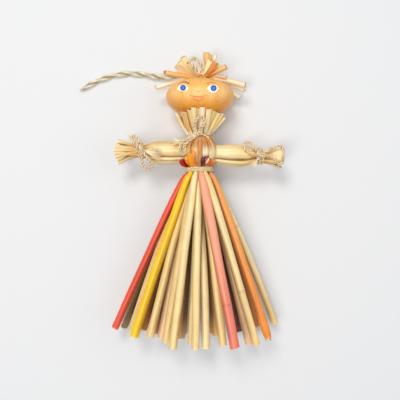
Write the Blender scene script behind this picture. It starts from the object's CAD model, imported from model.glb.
import math
import random

import bpy
from mathutils import Matrix, Vector


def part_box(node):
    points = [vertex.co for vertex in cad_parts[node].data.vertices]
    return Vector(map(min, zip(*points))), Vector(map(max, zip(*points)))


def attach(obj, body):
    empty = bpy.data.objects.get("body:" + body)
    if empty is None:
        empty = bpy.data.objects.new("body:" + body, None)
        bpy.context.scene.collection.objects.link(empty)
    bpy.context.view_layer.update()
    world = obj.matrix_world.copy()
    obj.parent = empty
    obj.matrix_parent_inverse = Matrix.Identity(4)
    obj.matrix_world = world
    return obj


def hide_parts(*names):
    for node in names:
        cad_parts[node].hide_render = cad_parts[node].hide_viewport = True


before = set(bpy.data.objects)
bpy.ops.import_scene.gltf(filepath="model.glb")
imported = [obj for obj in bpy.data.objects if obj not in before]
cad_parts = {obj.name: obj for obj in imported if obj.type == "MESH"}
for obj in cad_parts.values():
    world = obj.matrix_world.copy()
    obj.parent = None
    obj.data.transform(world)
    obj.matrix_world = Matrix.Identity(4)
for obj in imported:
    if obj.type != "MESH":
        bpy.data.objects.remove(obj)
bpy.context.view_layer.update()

headLow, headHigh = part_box("head")
waistLow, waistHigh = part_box("waist_tie")
metre = 1000.0  # settings below are in millimetres unless a note says otherwise
waistPlace = Vector(((headLow.x + headHigh.x) / 2, (waistLow.y + waistHigh.y) / 2, 0)) * metre
axisHeight = (headLow.z + headHigh.z) / 2 * metre  # the body's axis above the table


# Places in the figure: x to the right, y up the body from the waist tie, z up from the table
def inFrame(point):
    return (point + waistPlace) / metre


def roundBody(radius, degrees, height):
    turn = math.radians(degrees)
    return Vector((radius * math.cos(turn), height, axisHeight + radius * math.sin(turn)))


def outOfBody(point):
    return Vector((point.x, 0, point.z - axisHeight))


def towardsCamera(point):
    return Vector((0, 0, 1))


# Photograph: camera straight above a point a little below the waist tie, square picture
photo = {
    "pixels": 400,
    "cameraHeight": 360.0,
    "cameraBelowWaist": 18.9,
    "lens": 51.0,
    "sensor": 36.0,
}
pixelsPerTangent = photo["lens"] / photo["sensor"] * photo["pixels"]


def fromPixel(px, py, height):
    scale = (photo["cameraHeight"] - height) / pixelsPerTangent
    across = (px - photo["pixels"] / 2) * scale
    up = (photo["pixels"] / 2 - py) * scale - photo["cameraBelowWaist"]
    return Vector((across, up, height))


def addCamera():
    lens = bpy.data.cameras.new("photoCamera")
    lens.lens = photo["lens"]
    lens.sensor_width = photo["sensor"]
    lens.clip_start = 0.01
    camera = bpy.data.objects.new("photoCamera", lens)
    camera.location = inFrame(Vector((0, -photo["cameraBelowWaist"], photo["cameraHeight"])))
    bpy.context.scene.collection.objects.link(camera)
    bpy.context.scene.camera = camera


addCamera()
print("camera set above the figure")


# Node helpers: a group's sockets, and a node with its settings and inputs in one call
def addNode(tree, kind, settings=None, inputs=None):
    node = tree.nodes.new(kind)
    for key, value in (settings or {}).items():
        setattr(node, key, value)
    for key, value in (inputs or {}).items():
        if isinstance(value, bpy.types.NodeSocket):
            tree.links.new(value, node.inputs[key])
        else:
            node.inputs[key].default_value = value
    return node


def startGroup(name, inputs, outputs):
    group = bpy.data.node_groups.new(name, "ShaderNodeTree")
    for label, kind, value in inputs:
        socket = group.interface.new_socket(label, in_out="INPUT", socket_type=kind)
        if value is not None:
            socket.default_value = value
    for label, kind in outputs:
        group.interface.new_socket(label, in_out="OUTPUT", socket_type=kind)
    return group, group.nodes.new("NodeGroupInput").outputs, group.nodes.new("NodeGroupOutput").inputs


def mathNode(tree, operation, first, second=0.0):
    return addNode(tree, "ShaderNodeMath", {"operation": operation}, {0: first, 1: second}).outputs[0]


def mapNode(tree, value, low, high, toLow, toHigh):
    inputs = {"Value": value, "From Min": low, "From Max": high, "To Min": toLow, "To Max": toHigh}
    return addNode(tree, "ShaderNodeMapRange", None, inputs).outputs["Result"]


def noiseNode(tree, vector, scale, detail=3.0, roughness=0.6):
    inputs = {"Vector": vector, "Scale": scale, "Detail": detail, "Roughness": roughness}
    return addNode(tree, "ShaderNodeTexNoise", None, inputs).outputs["Fac"]


def scaledVector(tree, vector, x, y, z):
    inputs = {0: vector, 1: (x, y, z)}
    return addNode(tree, "ShaderNodeVectorMath", {"operation": "MULTIPLY"}, inputs).outputs[0]


def mixColour(tree, blend, factor, first, second):
    settings = {"data_type": "RGBA", "blend_type": blend}
    node = addNode(tree, "ShaderNodeMix", settings, {0: factor, 6: first, 7: second})
    return node.outputs[2]


def greyColour(tree, value):
    return addNode(tree, "ShaderNodeCombineColor", None, {0: value, 1: value, 2: value}).outputs[0]


def fromScreen(red, green, blue):
    values = [c / 255 for c in (red, green, blue)]
    return tuple(c / 12.92 if c <= 0.04045 else ((c + 0.055) / 1.055) ** 2.4 for c in values)


# Shared effects
def makeStrawFibre():
    inputs = (
        ("Tint", "NodeSocketColor", (0.8, 0.6, 0.3, 1)),
        ("Along", "NodeSocketVector", None),
        ("Streaks", "NodeSocketFloat", 0.5),
        ("Stains", "NodeSocketFloat", 0.5),
    )
    outputs = (
        ("Color", "NodeSocketColor"),
        ("Roughness", "NodeSocketFloat"),
        ("Height", "NodeSocketFloat"),
    )
    group, given, made = startGroup("strawFibre", inputs, outputs)
    broad = noiseNode(group, scaledVector(group, given["Along"], 0.030, 9.0, 0), 1.0, 2.0)
    fine = noiseNode(group, scaledVector(group, given["Along"], 0.050, 34.0, 0), 1.0, 3.0)
    hairline = noiseNode(group, scaledVector(group, given["Along"], 0.022, 80.0, 0), 1.0, 1.0)
    blotch = noiseNode(group, scaledVector(group, given["Along"], 0.110, 2.2, 0), 1.0, 4.0)
    speck = noiseNode(group, scaledVector(group, given["Along"], 1.100, 20.0, 0), 1.0, 1.0)
    lit = mapNode(group, broad, 0.3, 0.7, 0.86, 1.10)
    ribbed = mapNode(group, fine, 0.3, 0.7, 0.88, 1.07)
    shade = mathNode(group, "MULTIPLY", lit, ribbed)
    shade = mathNode(group, "SUBTRACT", shade, 1.0)
    shade = mathNode(group, "MULTIPLY", shade, mathNode(group, "MULTIPLY", given["Streaks"], 2.0))
    shade = mathNode(group, "ADD", shade, 1.0)
    colour = mixColour(group, "MULTIPLY", 1.0, given["Tint"], greyColour(group, shade))
    stained = mixColour(group, "MULTIPLY", 1.0, colour, (0.88, 0.70, 0.50, 1))
    stain = mathNode(group, "MULTIPLY", mapNode(group, blotch, 0.50, 0.72, 0, 1), given["Stains"])
    colour = mixColour(group, "MIX", stain, colour, stained)
    dark = mixColour(group, "MULTIPLY", 1.0, colour, (0.62, 0.46, 0.30, 1))
    lines = mathNode(group, "MULTIPLY", mapNode(group, hairline, 0.66, 0.74, 0, 0.55), given["Stains"])
    colour = mixColour(group, "MIX", lines, colour, dark)
    specks = mathNode(group, "MULTIPLY", mapNode(group, speck, 0.74, 0.80, 0, 0.6), given["Stains"])
    colour = mixColour(group, "MIX", specks, colour, dark)
    group.links.new(colour, made["Color"])
    group.links.new(mapNode(group, broad, 0.3, 0.7, 0.27, 0.42), made["Roughness"])
    height = mathNode(group, "ADD", mathNode(group, "MULTIPLY", broad, 0.8), fine)
    group.links.new(height, made["Height"])
    return group


def makeTwineFibre():
    inputs = (
        ("Tint", "NodeSocketColor", (0.6, 0.45, 0.25, 1)),
        ("Along", "NodeSocketVector", None),
        ("Slant", "NodeSocketFloat", 0.25),
    )
    outputs = (
        ("Color", "NodeSocketColor"),
        ("Roughness", "NodeSocketFloat"),
        ("Height", "NodeSocketFloat"),
    )
    group, given, made = startGroup("twineFibre", inputs, outputs)
    split = addNode(group, "ShaderNodeSeparateXYZ", None, {0: given["Along"]}).outputs
    slanted = mathNode(group, "ADD", split["Y"], mathNode(group, "MULTIPLY", split["X"], given["Slant"]))
    inputs = {"X": mathNode(group, "MULTIPLY", split["X"], 0.16), "Y": mathNode(group, "MULTIPLY", slanted, 9.0)}
    laid = addNode(group, "ShaderNodeCombineXYZ", None, inputs).outputs[0]
    strand = noiseNode(group, laid, 1.0, 2.0)
    hair = noiseNode(group, laid, 3.6, 3.0)
    patch = noiseNode(group, scaledVector(group, given["Along"], 0.35, 1.4, 0), 1.0, 2.0)
    shade = mathNode(group, "MULTIPLY", mapNode(group, strand, 0.3, 0.7, 0.74, 1.14), mapNode(group, hair, 0.3, 0.7, 0.80, 1.10))
    colour = mixColour(group, "MULTIPLY", 1.0, given["Tint"], greyColour(group, shade))
    warm = mixColour(group, "MULTIPLY", 1.0, colour, (0.96, 0.78, 0.55, 1))
    colour = mixColour(group, "MIX", mapNode(group, patch, 0.45, 0.70, 0, 0.55), colour, warm)
    group.links.new(colour, made["Color"])
    group.links.new(mapNode(group, hair, 0.3, 0.7, 0.72, 0.92), made["Roughness"])
    group.links.new(mathNode(group, "ADD", strand, mathNode(group, "MULTIPLY", hair, 0.7)), made["Height"])
    return group


def makeTurnedGrain():
    inputs = (
        ("Tint", "NodeSocketColor", (0.85, 0.55, 0.24, 1)),
        ("Place", "NodeSocketVector", None),
        ("Depth", "NodeSocketFloat", 0.5),
    )
    outputs = (
        ("Color", "NodeSocketColor"),
        ("Roughness", "NodeSocketFloat"),
        ("Height", "NodeSocketFloat"),
    )
    group, given, made = startGroup("turnedGrain", inputs, outputs)
    cloud = noiseNode(group, scaledVector(group, given["Place"], 70, 32, 70), 1.0, 3.0)
    grain = noiseNode(group, scaledVector(group, given["Place"], 620, 46, 620), 1.0, 3.0)
    pores = noiseNode(group, scaledVector(group, given["Place"], 1700, 210, 1700), 1.0, 2.0)
    colour = mixColour(group, "MULTIPLY", 1.0, given["Tint"], greyColour(group, mapNode(group, cloud, 0.3, 0.7, 0.90, 1.08)))
    ringed = mixColour(group, "MULTIPLY", 1.0, colour, (0.90, 0.74, 0.52, 1))
    figure = mathNode(group, "MULTIPLY", mapNode(group, grain, 0.42, 0.68, 0, 1), given["Depth"])
    colour = mixColour(group, "MIX", figure, colour, ringed)
    pored = mixColour(group, "MULTIPLY", 1.0, colour, (0.80, 0.58, 0.34, 1))
    pore = mathNode(group, "MULTIPLY", mapNode(group, pores, 0.62, 0.72, 0, 0.8), given["Depth"])
    colour = mixColour(group, "MIX", pore, colour, pored)
    group.links.new(colour, made["Color"])
    group.links.new(mapNode(group, cloud, 0.3, 0.7, 0.30, 0.42), made["Roughness"])
    group.links.new(mathNode(group, "ADD", grain, mathNode(group, "MULTIPLY", pores, -0.5)), made["Height"])
    return group


strawFibre = makeStrawFibre()
twineFibre = makeTwineFibre()
turnedGrain = makeTurnedGrain()


# Materials: one for each finish, tinted by the colours painted along a piece
def startMaterial(name):
    material = bpy.data.materials.new(name)
    material.use_nodes = True
    tree = material.node_tree
    shader = tree.nodes["Principled BSDF"]
    tint = addNode(tree, "ShaderNodeVertexColor", {"layer_name": "tint"}).outputs["Color"]
    along = addNode(tree, "ShaderNodeUVMap", {"uv_map": "strandUv"}).outputs["UV"]
    return material, tree, shader, tint, along


def joinEffect(tree, shader, effect, bump):
    outputs = effect.outputs
    tree.links.new(outputs["Color"], shader.inputs["Base Color"])
    tree.links.new(outputs["Roughness"], shader.inputs["Roughness"])
    inputs = {"Strength": bump["strength"], "Distance": bump["depth"] / metre, "Height": outputs["Height"]}
    raised = addNode(tree, "ShaderNodeBump", None, inputs)
    tree.links.new(raised.outputs["Normal"], shader.inputs["Normal"])


def strawMaterial(name, streaks, stains, specular):
    material, tree, shader, tint, along = startMaterial(name)
    inputs = {"Tint": tint, "Along": along, "Streaks": streaks, "Stains": stains}
    effect = addNode(tree, "ShaderNodeGroup", {"node_tree": strawFibre}, inputs)
    joinEffect(tree, shader, effect, {"strength": 0.45, "depth": 0.10})
    shader.inputs["Specular IOR Level"].default_value = specular
    return material


def twineMaterial(name, slant):
    material, tree, shader, tint, along = startMaterial(name)
    inputs = {"Tint": tint, "Along": along, "Slant": slant}
    effect = addNode(tree, "ShaderNodeGroup", {"node_tree": twineFibre}, inputs)
    joinEffect(tree, shader, effect, {"strength": 0.8, "depth": 0.16})
    shader.inputs["Specular IOR Level"].default_value = 0.25
    return material


def beadMaterial():
    material, tree, shader, tint, along = startMaterial("varnishedBead")
    place = addNode(tree, "ShaderNodeTexCoord").outputs["Object"]
    inputs = {"Tint": tint, "Place": place, "Depth": 0.55}
    effect = addNode(tree, "ShaderNodeGroup", {"node_tree": turnedGrain}, inputs)
    joinEffect(tree, shader, effect, {"strength": 0.15, "depth": 0.08})
    shader.inputs["Specular IOR Level"].default_value = 0.35
    shader.inputs["Coat Weight"].default_value = 0.12
    shader.inputs["Coat Roughness"].default_value = 0.35
    return material


def facePaintMaterial():
    material, tree, shader, tint, along = startMaterial("facePaint")
    place = addNode(tree, "ShaderNodeTexCoord").outputs["Object"]
    brushed = noiseNode(tree, scaledVector(tree, place, 2600, 2600, 2600), 1.0, 2.0)
    shade = greyColour(tree, mapNode(tree, brushed, 0.3, 0.7, 0.92, 1.05))
    tree.links.new(mixColour(tree, "MULTIPLY", 1.0, tint, shade), shader.inputs["Base Color"])
    tree.links.new(mapNode(tree, brushed, 0.3, 0.7, 0.30, 0.42), shader.inputs["Roughness"])
    return material


plainStraw = strawMaterial("plainStraw", 0.55, 0.55, 0.50)
dyedStraw = strawMaterial("dyedStraw", 0.50, 0.28, 0.50)
sisalTwine = twineMaterial("sisalTwine", 0.22)
paperCord = twineMaterial("paperCord", 0.05)
varnishedBead = beadMaterial()
facePaint = facePaintMaterial()
print("materials made")


# Meshes are lofted from rings; every ring carries a distance along the piece and a tint
class Shell:
    def __init__(self):
        self.points = []
        self.tints = []
        self.faces = []
        self.corners = []

    def loft(self, rings, runs, tints, closed=False):
        first = len(self.points)
        sides = len(rings[0])
        for ring, tint in zip(rings, tints):
            self.points += ring
            self.tints += tint if isinstance(tint, list) else [tint] * sides
        rows = len(rings)
        for i in range(rows if closed else rows - 1):
            j = (i + 1) % rows
            for k in range(sides):
                n = (k + 1) % sides
                a, b = first + i * sides, first + j * sides
                self.faces.append((a + k, a + n, b + n, b + k))
                low, high = k / sides, (k + 1) / sides
                self.corners.append(((runs[i], low), (runs[i], high), (runs[j], high), (runs[j], low)))
        if not closed:
            for row, step in ((0, -1), (rows - 1, 1)):
                self.faces.append(tuple(first + row * sides + k for k in range(sides))[::step])
                self.corners.append(tuple((runs[row], k / sides) for k in range(sides))[::step])

    def toPiece(self, name, material, body, nodes=(), sharp=50):
        mesh = bpy.data.meshes.new(name)
        mesh.from_pydata([inFrame(p) for p in self.points], [], self.faces)
        layer = mesh.uv_layers.new(name="strandUv")
        layer.data.foreach_set("uv", [v for face in self.corners for corner in face for v in corner])
        tint = mesh.color_attributes.new("tint", "FLOAT_COLOR", "POINT")
        tint.data.foreach_set("color", [v for colour in self.tints for v in (*colour, 1)])
        mesh.shade_smooth()
        mesh.set_sharp_from_angle(angle=math.radians(sharp))
        mesh.materials.append(material)
        piece = bpy.data.objects.new(name, mesh)
        bpy.context.scene.collection.objects.link(piece)
        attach(piece, body)
        if nodes:
            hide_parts(*nodes)
        return piece


# Smooth courses
def smoothCourse(knots, spacing):
    spans = [(b - a).length for a, b in zip(knots, knots[1:])]
    slopes = [(b - a) / h for a, b, h in zip(knots, knots[1:], spans)]
    ends = [slopes[0]]
    for i in range(1, len(spans)):
        mixed = slopes[i - 1] * spans[i] + slopes[i] * spans[i - 1]
        ends.append(mixed / (spans[i - 1] + spans[i]))
    ends.append(slopes[-1])
    found = []
    for i, h in enumerate(spans):
        count = max(2, math.ceil(h / spacing))
        for k in range(count):
            t = k / count
            point = knots[i] * (1 + 2 * t) * (1 - t) ** 2 + ends[i] * h * t * (1 - t) ** 2
            point += knots[i + 1] * t * t * (3 - 2 * t) + ends[i + 1] * h * t * t * (t - 1)
            found.append((point, i + t))
    return found + [(knots[-1], len(spans))]


def between(values, at):
    i = min(int(at), len(values) - 2)
    part = at - i
    part = part * part * (3 - 2 * part)
    if isinstance(values[0], tuple):
        return tuple(a + (b - a) * part for a, b in zip(values[i], values[i + 1]))
    return values[i] + (values[i + 1] - values[i]) * part


def evenCourse(knots, spacing):
    line = [p for p, at in smoothCourse(knots, spacing / 3)]
    found = [line[0]]
    left = spacing
    for a, b in zip(line, line[1:]):
        run = (b - a).length
        while run >= left > 0:
            a = a.lerp(b, left / run)
            found.append(a)
            run = (b - a).length
            left = spacing
        left -= run
    if (line[-1] - found[-1]).length > spacing / 4:
        found.append(line[-1])
    return found


def courseTangents(points):
    last = len(points) - 1
    return [(points[min(k + 1, last)] - points[max(k - 1, 0)]).normalized() for k in range(last + 1)]


def courseRuns(points, start=0.0):
    runs = [start]
    for a, b in zip(points, points[1:]):
        runs.append(runs[-1] + (b - a).length)
    return runs


def carriedNormals(tangents):
    normal = tangents[0].orthogonal().normalized()
    found = [normal]
    for a, b in zip(tangents, tangents[1:]):
        turned = a.rotation_difference(b) @ found[-1]
        found.append((turned - b * turned.dot(b)).normalized())
    return found


# Straw: an open tube, flattened where it is pressed, with ribs along it, joints and a cut end
straw = {
    "sides": 20,
    "spacing": 1.5,
    "wall": 0.42,
    "rib": 0.018,  # part of the radius
    "sway": 0.10,
    "jointSwell": 0.07,
    "jointHalf": 0.9,
    "jointShade": 0.2,
    "insideShade": (0.50, 0.38, 0.24),
    "rim": 0.45,  # the cut edge shows paler over this length
    "rimTint": (252, 240, 208),
    "rimShare": 0.55,
}


split = {"steps": 10, "wall": 0.35}


def shadeBy(colour, shade):
    return tuple(c * s for c, s in zip(colour, shade))


def mixTint(first, second, share):
    return tuple(a + (b - a) * share for a, b in zip(first, second))


def rimmedCourse(course, bores):
    # one more ring close to each open end
    found = list(course)
    for end, beside, open in ((0, 1, bores[0]), (-1, -2, bores[1])):
        if open:
            (a, atA), (b, atB) = course[end], course[beside]
            part = min(0.4, straw["rim"] / (b - a).length)
            found.insert(1 if end == 0 else len(found) - 1, (a.lerp(b, part), atA + (atB - atA) * part))
    return found


def addStraw(
    shell, name, rows, facing=towardsCamera, bores=(6.0, 0.0), cuts=(0.5, 0.3), joints=(), inward=None, slope=None
):
    # rows are place, width, thickness and colour, from one end to the other; slope is the way a cut faces;
    # inward is how dark the sides are that face into the bundle, over what length that fades in, and the way out
    chance = random.Random(name)
    knots = [row[0] for row in rows]
    course = rimmedCourse(smoothCourse(knots, straw["spacing"]), bores)
    points = [p for p, at in course]
    widths = [between([float(row[1]) for row in rows], at) for p, at in course]
    depths = [between([float(row[2]) for row in rows], at) for p, at in course]
    colours = [between([fromScreen(*row[3]) for row in rows], at) for p, at in course]
    tangents = courseTangents(points)
    runs = courseRuns(points)
    length = runs[-1]
    ribCount = chance.choice((7, 9, 11))
    ribTurn, swayTurn = chance.uniform(0, math.tau), chance.uniform(0, math.tau)
    anySlope = chance.uniform(0, math.tau)
    slope = anySlope if slope is None else slope
    jagged = [chance.uniform(-1, 1) for k in range(straw["sides"])]
    offset = chance.uniform(0, 900)

    def ring(k, shrink, cut):
        tangent = tangents[k]
        front = facing(points[k])
        front = (front - tangent * front.dot(tangent)).normalized()
        side = tangent.cross(front)
        swell = 1.0
        for joint in joints:
            swell += straw["jointSwell"] * math.exp(-((runs[k] - joint * length) / straw["jointHalf"]) ** 2)
        wave = straw["sway"] * math.sin(runs[k] * 0.11 + swayTurn)
        middle = points[k] + side * wave * min(1, runs[k] / 12, (length - runs[k]) / 12)
        found = []
        for j in range(straw["sides"]):
            angle = math.pi + math.tau * j / straw["sides"]
            reach = swell * (1 + straw["rib"] * math.cos(ribCount * angle + ribTurn)) - shrink / max(widths[k] / 2, 0.3)
            place = middle + side * (widths[k] / 2 * reach * math.sin(angle))
            place += front * (max(depths[k] / 2 * reach, 0.12) * math.cos(angle))
            slip = cut * (0.5 * math.cos(angle - slope) + 0.2 * jagged[j])
            found.append(place + tangent * slip)
        return found

    def shaded(k, ring, tint):
        dark, fade, outward = inward
        out = outward(points[k]).normalized()
        dark *= min(1.0, runs[k] / fade)
        found = []
        for place in ring:
            level = 1 - dark * max(0.0, min(1.0, 0.45 - (place - points[k]).normalized().dot(out)))
            found.append(shadeBy(tint, (level, level ** 1.2, level ** 1.4)))
        return found

    def bore(order, depth, cut):
        inner, levels = [], []
        for k in order:
            inner.append(ring(k, straw["wall"], cut if k == order[0] else 0.0))
            levels.append(k)
            if abs(runs[k] - runs[order[0]]) > depth:
                break
        return inner, levels

    last = len(points) - 1
    rings, levels, tints = [], [], []
    inside = straw["insideShade"]
    paleRim = fromScreen(*straw["rimTint"])
    opened = [k for k, depth in ((0, bores[0]), (last, bores[1])) if depth]
    if bores[0]:
        inner, at = bore(list(range(last)), bores[0], cuts[0])
        rings += inner[::-1]
        levels += at[::-1]
        tints += [shadeBy(colours[k], inside) if k else mixTint(colours[k], paleRim, 0.8) for k in at[::-1]]
    for k in range(last + 1):
        cut = cuts[0] if k == 0 else (cuts[1] if k == last else 0.0)
        rings.append(ring(k, 0.0, cut))
        levels.append(k)
        level = 1.0
        for joint in joints:
            level -= straw["jointShade"] * math.exp(-((runs[k] - joint * length) / (0.5 * straw["jointHalf"])) ** 2)
        tint = shadeBy(colours[k], (level, level ** 1.4, level ** 1.8))
        if k in opened:
            tint = mixTint(tint, paleRim, straw["rimShare"])
        tints.append(shaded(k, rings[-1], tint) if inward else tint)
    if bores[1]:
        inner, at = bore(list(range(last, 0, -1)), bores[1], cuts[1])
        rings += inner
        levels += at
        tints += [shadeBy(colours[k], inside) if k != last else mixTint(colours[k], paleRim, 0.8) for k in at]
    shell.loft(rings, [runs[k] + offset for k in levels], tints)


def addSplitStraw(shell, name, rows, facing=towardsCamera, ragged=0.6):
    # a straw slit open and pressed out: a curved strip; rows as for a straw, with the inside colour last
    chance = random.Random(name)
    course = smoothCourse([row[0] for row in rows], straw["spacing"])
    points = [p for p, at in course]
    tangents = courseTangents(points)
    runs = courseRuns(points)
    offset = chance.uniform(0, 900)
    steps = split["steps"]
    nicks = [chance.uniform(-1, 1) for k in range(steps + 1)]
    rings, tints = [], []
    for k, (point, at) in enumerate(course):
        tangent = tangents[k]
        front = facing(point)
        front = (front - tangent * front.dot(tangent)).normalized()
        side = tangent.cross(front)
        half = between([float(row[1]) for row in rows], at) / 2
        depth = between([float(row[2]) for row in rows], at)
        outer, inner = [], []
        for j in range(steps + 1):
            part = 2 * j / steps - 1
            slip = ragged * nicks[j] if k == len(course) - 1 else 0.0
            place = point + side * (half * part) + front * (depth * (1 - part * part)) + tangent * slip
            outer.append(place)
            inner.append(place - front * split["wall"] + side * (split["wall"] * 0.4 * -part))
        rings.append(outer + inner[::-1])
        shown = between([fromScreen(*row[3]) for row in rows], at)
        hidden = between([fromScreen(*row[4]) for row in rows], at)
        tints.append([shown] * (steps + 1) + [hidden] * (steps + 1))
    shell.loft(rings, [run + offset for run in runs], tints)


def splitPiece(name, rows, material, body, nodes=(), slot="straw", **look):
    shell = Shell()
    addSplitStraw(shell, name, rows, **look)
    return shell.toPiece(name, material, body, nodes)


def strawPiece(name, rows, material, body, nodes=(), slot="straw", **look):
    shell = Shell()
    addStraw(shell, name, rows, **look)
    return shell.toPiece(name, material, body, nodes)


# Twine: plies laid round each other, each ply lobed by its own yarns, with loose fibres
def grooveShade(look, k, run, level):
    # darker where a ply faces the other one, and between its yarns
    angle = math.pi + math.tau * k / look["sides"]
    facing = max(0.0, 0.45 - math.cos(angle)) / 1.45
    yarn = math.cos(look["lobes"] * angle + run * look["lobeTwist"])
    level *= (1 - look["groove"] * facing) * (1 + look["yarnShade"] * yarn)
    return (level, level ** 1.25, level ** 1.5)


def addPlies(shell, name, knots, look, tint):
    chance = random.Random(name)
    points = evenCourse(knots, look["spacing"])
    tangents = courseTangents(points)
    normals = carriedNormals(tangents)
    runs = courseRuns(points)
    length = runs[-1]
    start = chance.uniform(0, math.tau)
    base = fromScreen(*tint)
    for ply in range(look["plies"]):
        rings, tints = [], []
        offset = chance.uniform(0, 400)
        for point, tangent, normal, run in zip(points, tangents, normals, runs):
            side = tangent.cross(normal)
            lay = start + math.tau * (run / look["pitch"] + ply / look["plies"])
            squeeze = 1 + look["uneven"] * math.sin(run * 1.7 + offset) * math.sin(run * 0.61 + ply)
            tip = min(1.0, 0.55 + min(run, length - run) / look["plyRadius"] * 0.5)
            middle = point + (normal * math.cos(lay) + side * math.sin(lay)) * look["layRadius"] * squeeze
            ring = []
            for k in range(look["sides"]):
                angle = lay + math.pi + math.tau * k / look["sides"]
                yarn = 1 + look["lobeDepth"] * math.cos(look["lobes"] * (angle - lay) + run * look["lobeTwist"])
                reach = look["plyRadius"] * tip * yarn * squeeze
                ring.append(middle + (normal * math.cos(angle) + side * math.sin(angle)) * reach)
            rings.append(ring)
            level = 1 + 0.10 * math.sin(run * 0.9 + offset)
            tints.append([shadeBy(base, grooveShade(look, k, run, level)) for k in range(look["sides"])])
        shell.loft(rings, [run + offset for run in runs], tints)
    for k in range(round(length * look["fibresPerMm"])):
        at = chance.randrange(len(points))
        angle = chance.uniform(0, math.tau)
        out = normals[at] * math.cos(angle) + tangents[at].cross(normals[at]) * math.sin(angle)
        root = points[at] + out * (look["layRadius"] + look["plyRadius"] * 0.7)
        way = (tangents[at] * chance.choice((-1, 1)) + out * chance.uniform(0.15, 0.8)).normalized()
        addFibre(shell, chance, root, way, chance.uniform(0.4, 1.0) * look["fibreLength"], look["fibreRadius"], base)


def addFibre(shell, chance, root, way, length, radius, base, stray=0.5):
    bend = Vector([chance.uniform(-1, 1) for k in range(3)]) * stray
    points = [root + way * (length * t) + bend * (length * t * t) for t in (0, 0.35, 0.7, 1)]
    for point in points:
        point.z = max(point.z, radius)
    tangents = courseTangents(points)
    normals = carriedNormals(tangents)
    rings = []
    for point, tangent, normal, thin in zip(points, tangents, normals, (1, 0.9, 0.7, 0.35)):
        side = tangent.cross(normal)
        turns = [math.tau * k / 4 for k in range(4)]
        rings.append([point + (normal * math.cos(a) + side * math.sin(a)) * radius * thin for a in turns])
    level = chance.uniform(0.85, 1.2)
    offset = chance.uniform(0, 300)
    shell.loft(rings, [offset + run for run in courseRuns(points)], [shadeBy(base, (level, level, level))] * 4)


def addFray(shell, name, root, way, look, tint):
    chance = random.Random(name)
    base = fromScreen(*tint)
    for k in range(look["count"]):
        spread = Vector([chance.uniform(-1, 1) for j in range(3)]) * look["spread"]
        length = look["length"] * chance.uniform(0.5, 1.0)
        start = root + Vector([chance.uniform(-1, 1) for j in range(3)]) * look["bundle"]
        addFibre(shell, chance, start, (way + spread).normalized(), length, look["radius"], base)


# Hanging cord: from the hair at the top of the head to its bare end on the table
cord = {
    "diameter": 3.4,
    "plies": 2,
    "plyRadius": 0.92,
    "layRadius": 0.78,
    "pitch": 21.0,
    "spacing": 0.5,
    "sides": 18,
    "lobes": 5,
    "lobeDepth": 0.07,
    "lobeTwist": 0.35,
    "uneven": 0.05,
    "fibresPerMm": 1.6,
    "fibreLength": 1.9,
    "fibreRadius": 0.06,
    "groove": 0.55,
    "yarnShade": 0.07,
    "tint": (240, 232, 204),
    "fray": {"count": 30, "spread": 0.35, "length": 1.7, "bundle": 0.8, "radius": 0.09},
    "route": [  # metres from the waist tie, the same points as in the part's source
        (0.00064, 0.05599, 0.01503),
        (-0.00119, 0.05629, 0.01249),
        (-0.00423, 0.05689, 0.01026),
        (-0.00824, 0.05749, 0.00802),
        (-0.01284, 0.05789, 0.00598),
        (-0.01759, 0.05809, 0.00440),
        (-0.02241, 0.05829, 0.00328),
        (-0.02693, 0.05878, 0.00254),
        (-0.03087, 0.05949, 0.00203),
        (-0.03480, 0.06019, 0.00170),
        (-0.03873, 0.06068, 0.00170),
        (-0.04304, 0.06099, 0.00170),
        (-0.04727, 0.06088, 0.00170),
        (-0.05157, 0.06039, 0.00170),
        (-0.05580, 0.05949, 0.00170),
        (-0.05988, 0.05829, 0.00170),
        (-0.06389, 0.05668, 0.00170),
        (-0.06767, 0.05489, 0.00170),
        (-0.07108, 0.05309, 0.00170),
        (-0.07420, 0.05119, 0.00170),
    ],
}


def makeCord():
    knots = [Vector(p) * metre for p in cord["route"]]
    shell = Shell()
    addPlies(shell, "hangingCord", knots, cord, cord["tint"])
    addFray(shell, "cordFray", knots[-1], (knots[-1] - knots[-2]).normalized(), cord["fray"], cord["tint"])
    piece = shell.toPiece("hangingCord", paperCord, "torso", ["hanging_cord"], 70)
    path = [inFrame(p) for p in evenCourse(knots, 1.0)]


makeCord()


# Head: a turned bead, flatter on top, with a rounded bore; the face is painted on it
head = {
    "radius": (headHigh.x - headLow.x) / 2 * metre,
    "centre": 42.985,  # up from the waist tie
    "crown": 10.8,
    "chin": 12.6,
    "bore": 4.811,
    "rim": 0.5,
    "segments": 96,
    "rows": 56,
    "tint": (254, 196, 104),
    "lowTint": (250, 160, 22),
    "cheekTint": (255, 220, 160),
    "cheeks": ((175.2, 93.2), (187.0, 93.0), (199.0, 92.6), (211.0, 93.0), (223.6, 92.8)),  # pixels
    "cheekReach": 4.6,
}
headMiddle = Vector((0, head["centre"], axisHeight))


def beadProfile():
    flat = math.asin((head["bore"] + head["rim"]) / head["radius"])
    profile = []
    for k in range(head["rows"] + 1):
        angle = flat + (math.pi - 2 * flat) * k / head["rows"]
        half = head["crown"] if angle < math.pi / 2 else head["chin"]
        profile.append((head["radius"] * math.sin(angle), half * math.cos(angle)))
    for side in (-1, 1):
        height = profile[-1][1] if side < 0 else profile[0][1]
        lip = [(head["bore"] + head["rim"] * (1 - math.sin(a)), height - side * head["rim"] * (1 - math.cos(a))) for a in (0.5, 1.0, math.pi / 2)]
        profile += lip if side < 0 else lip[::-1]
    return profile


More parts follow.
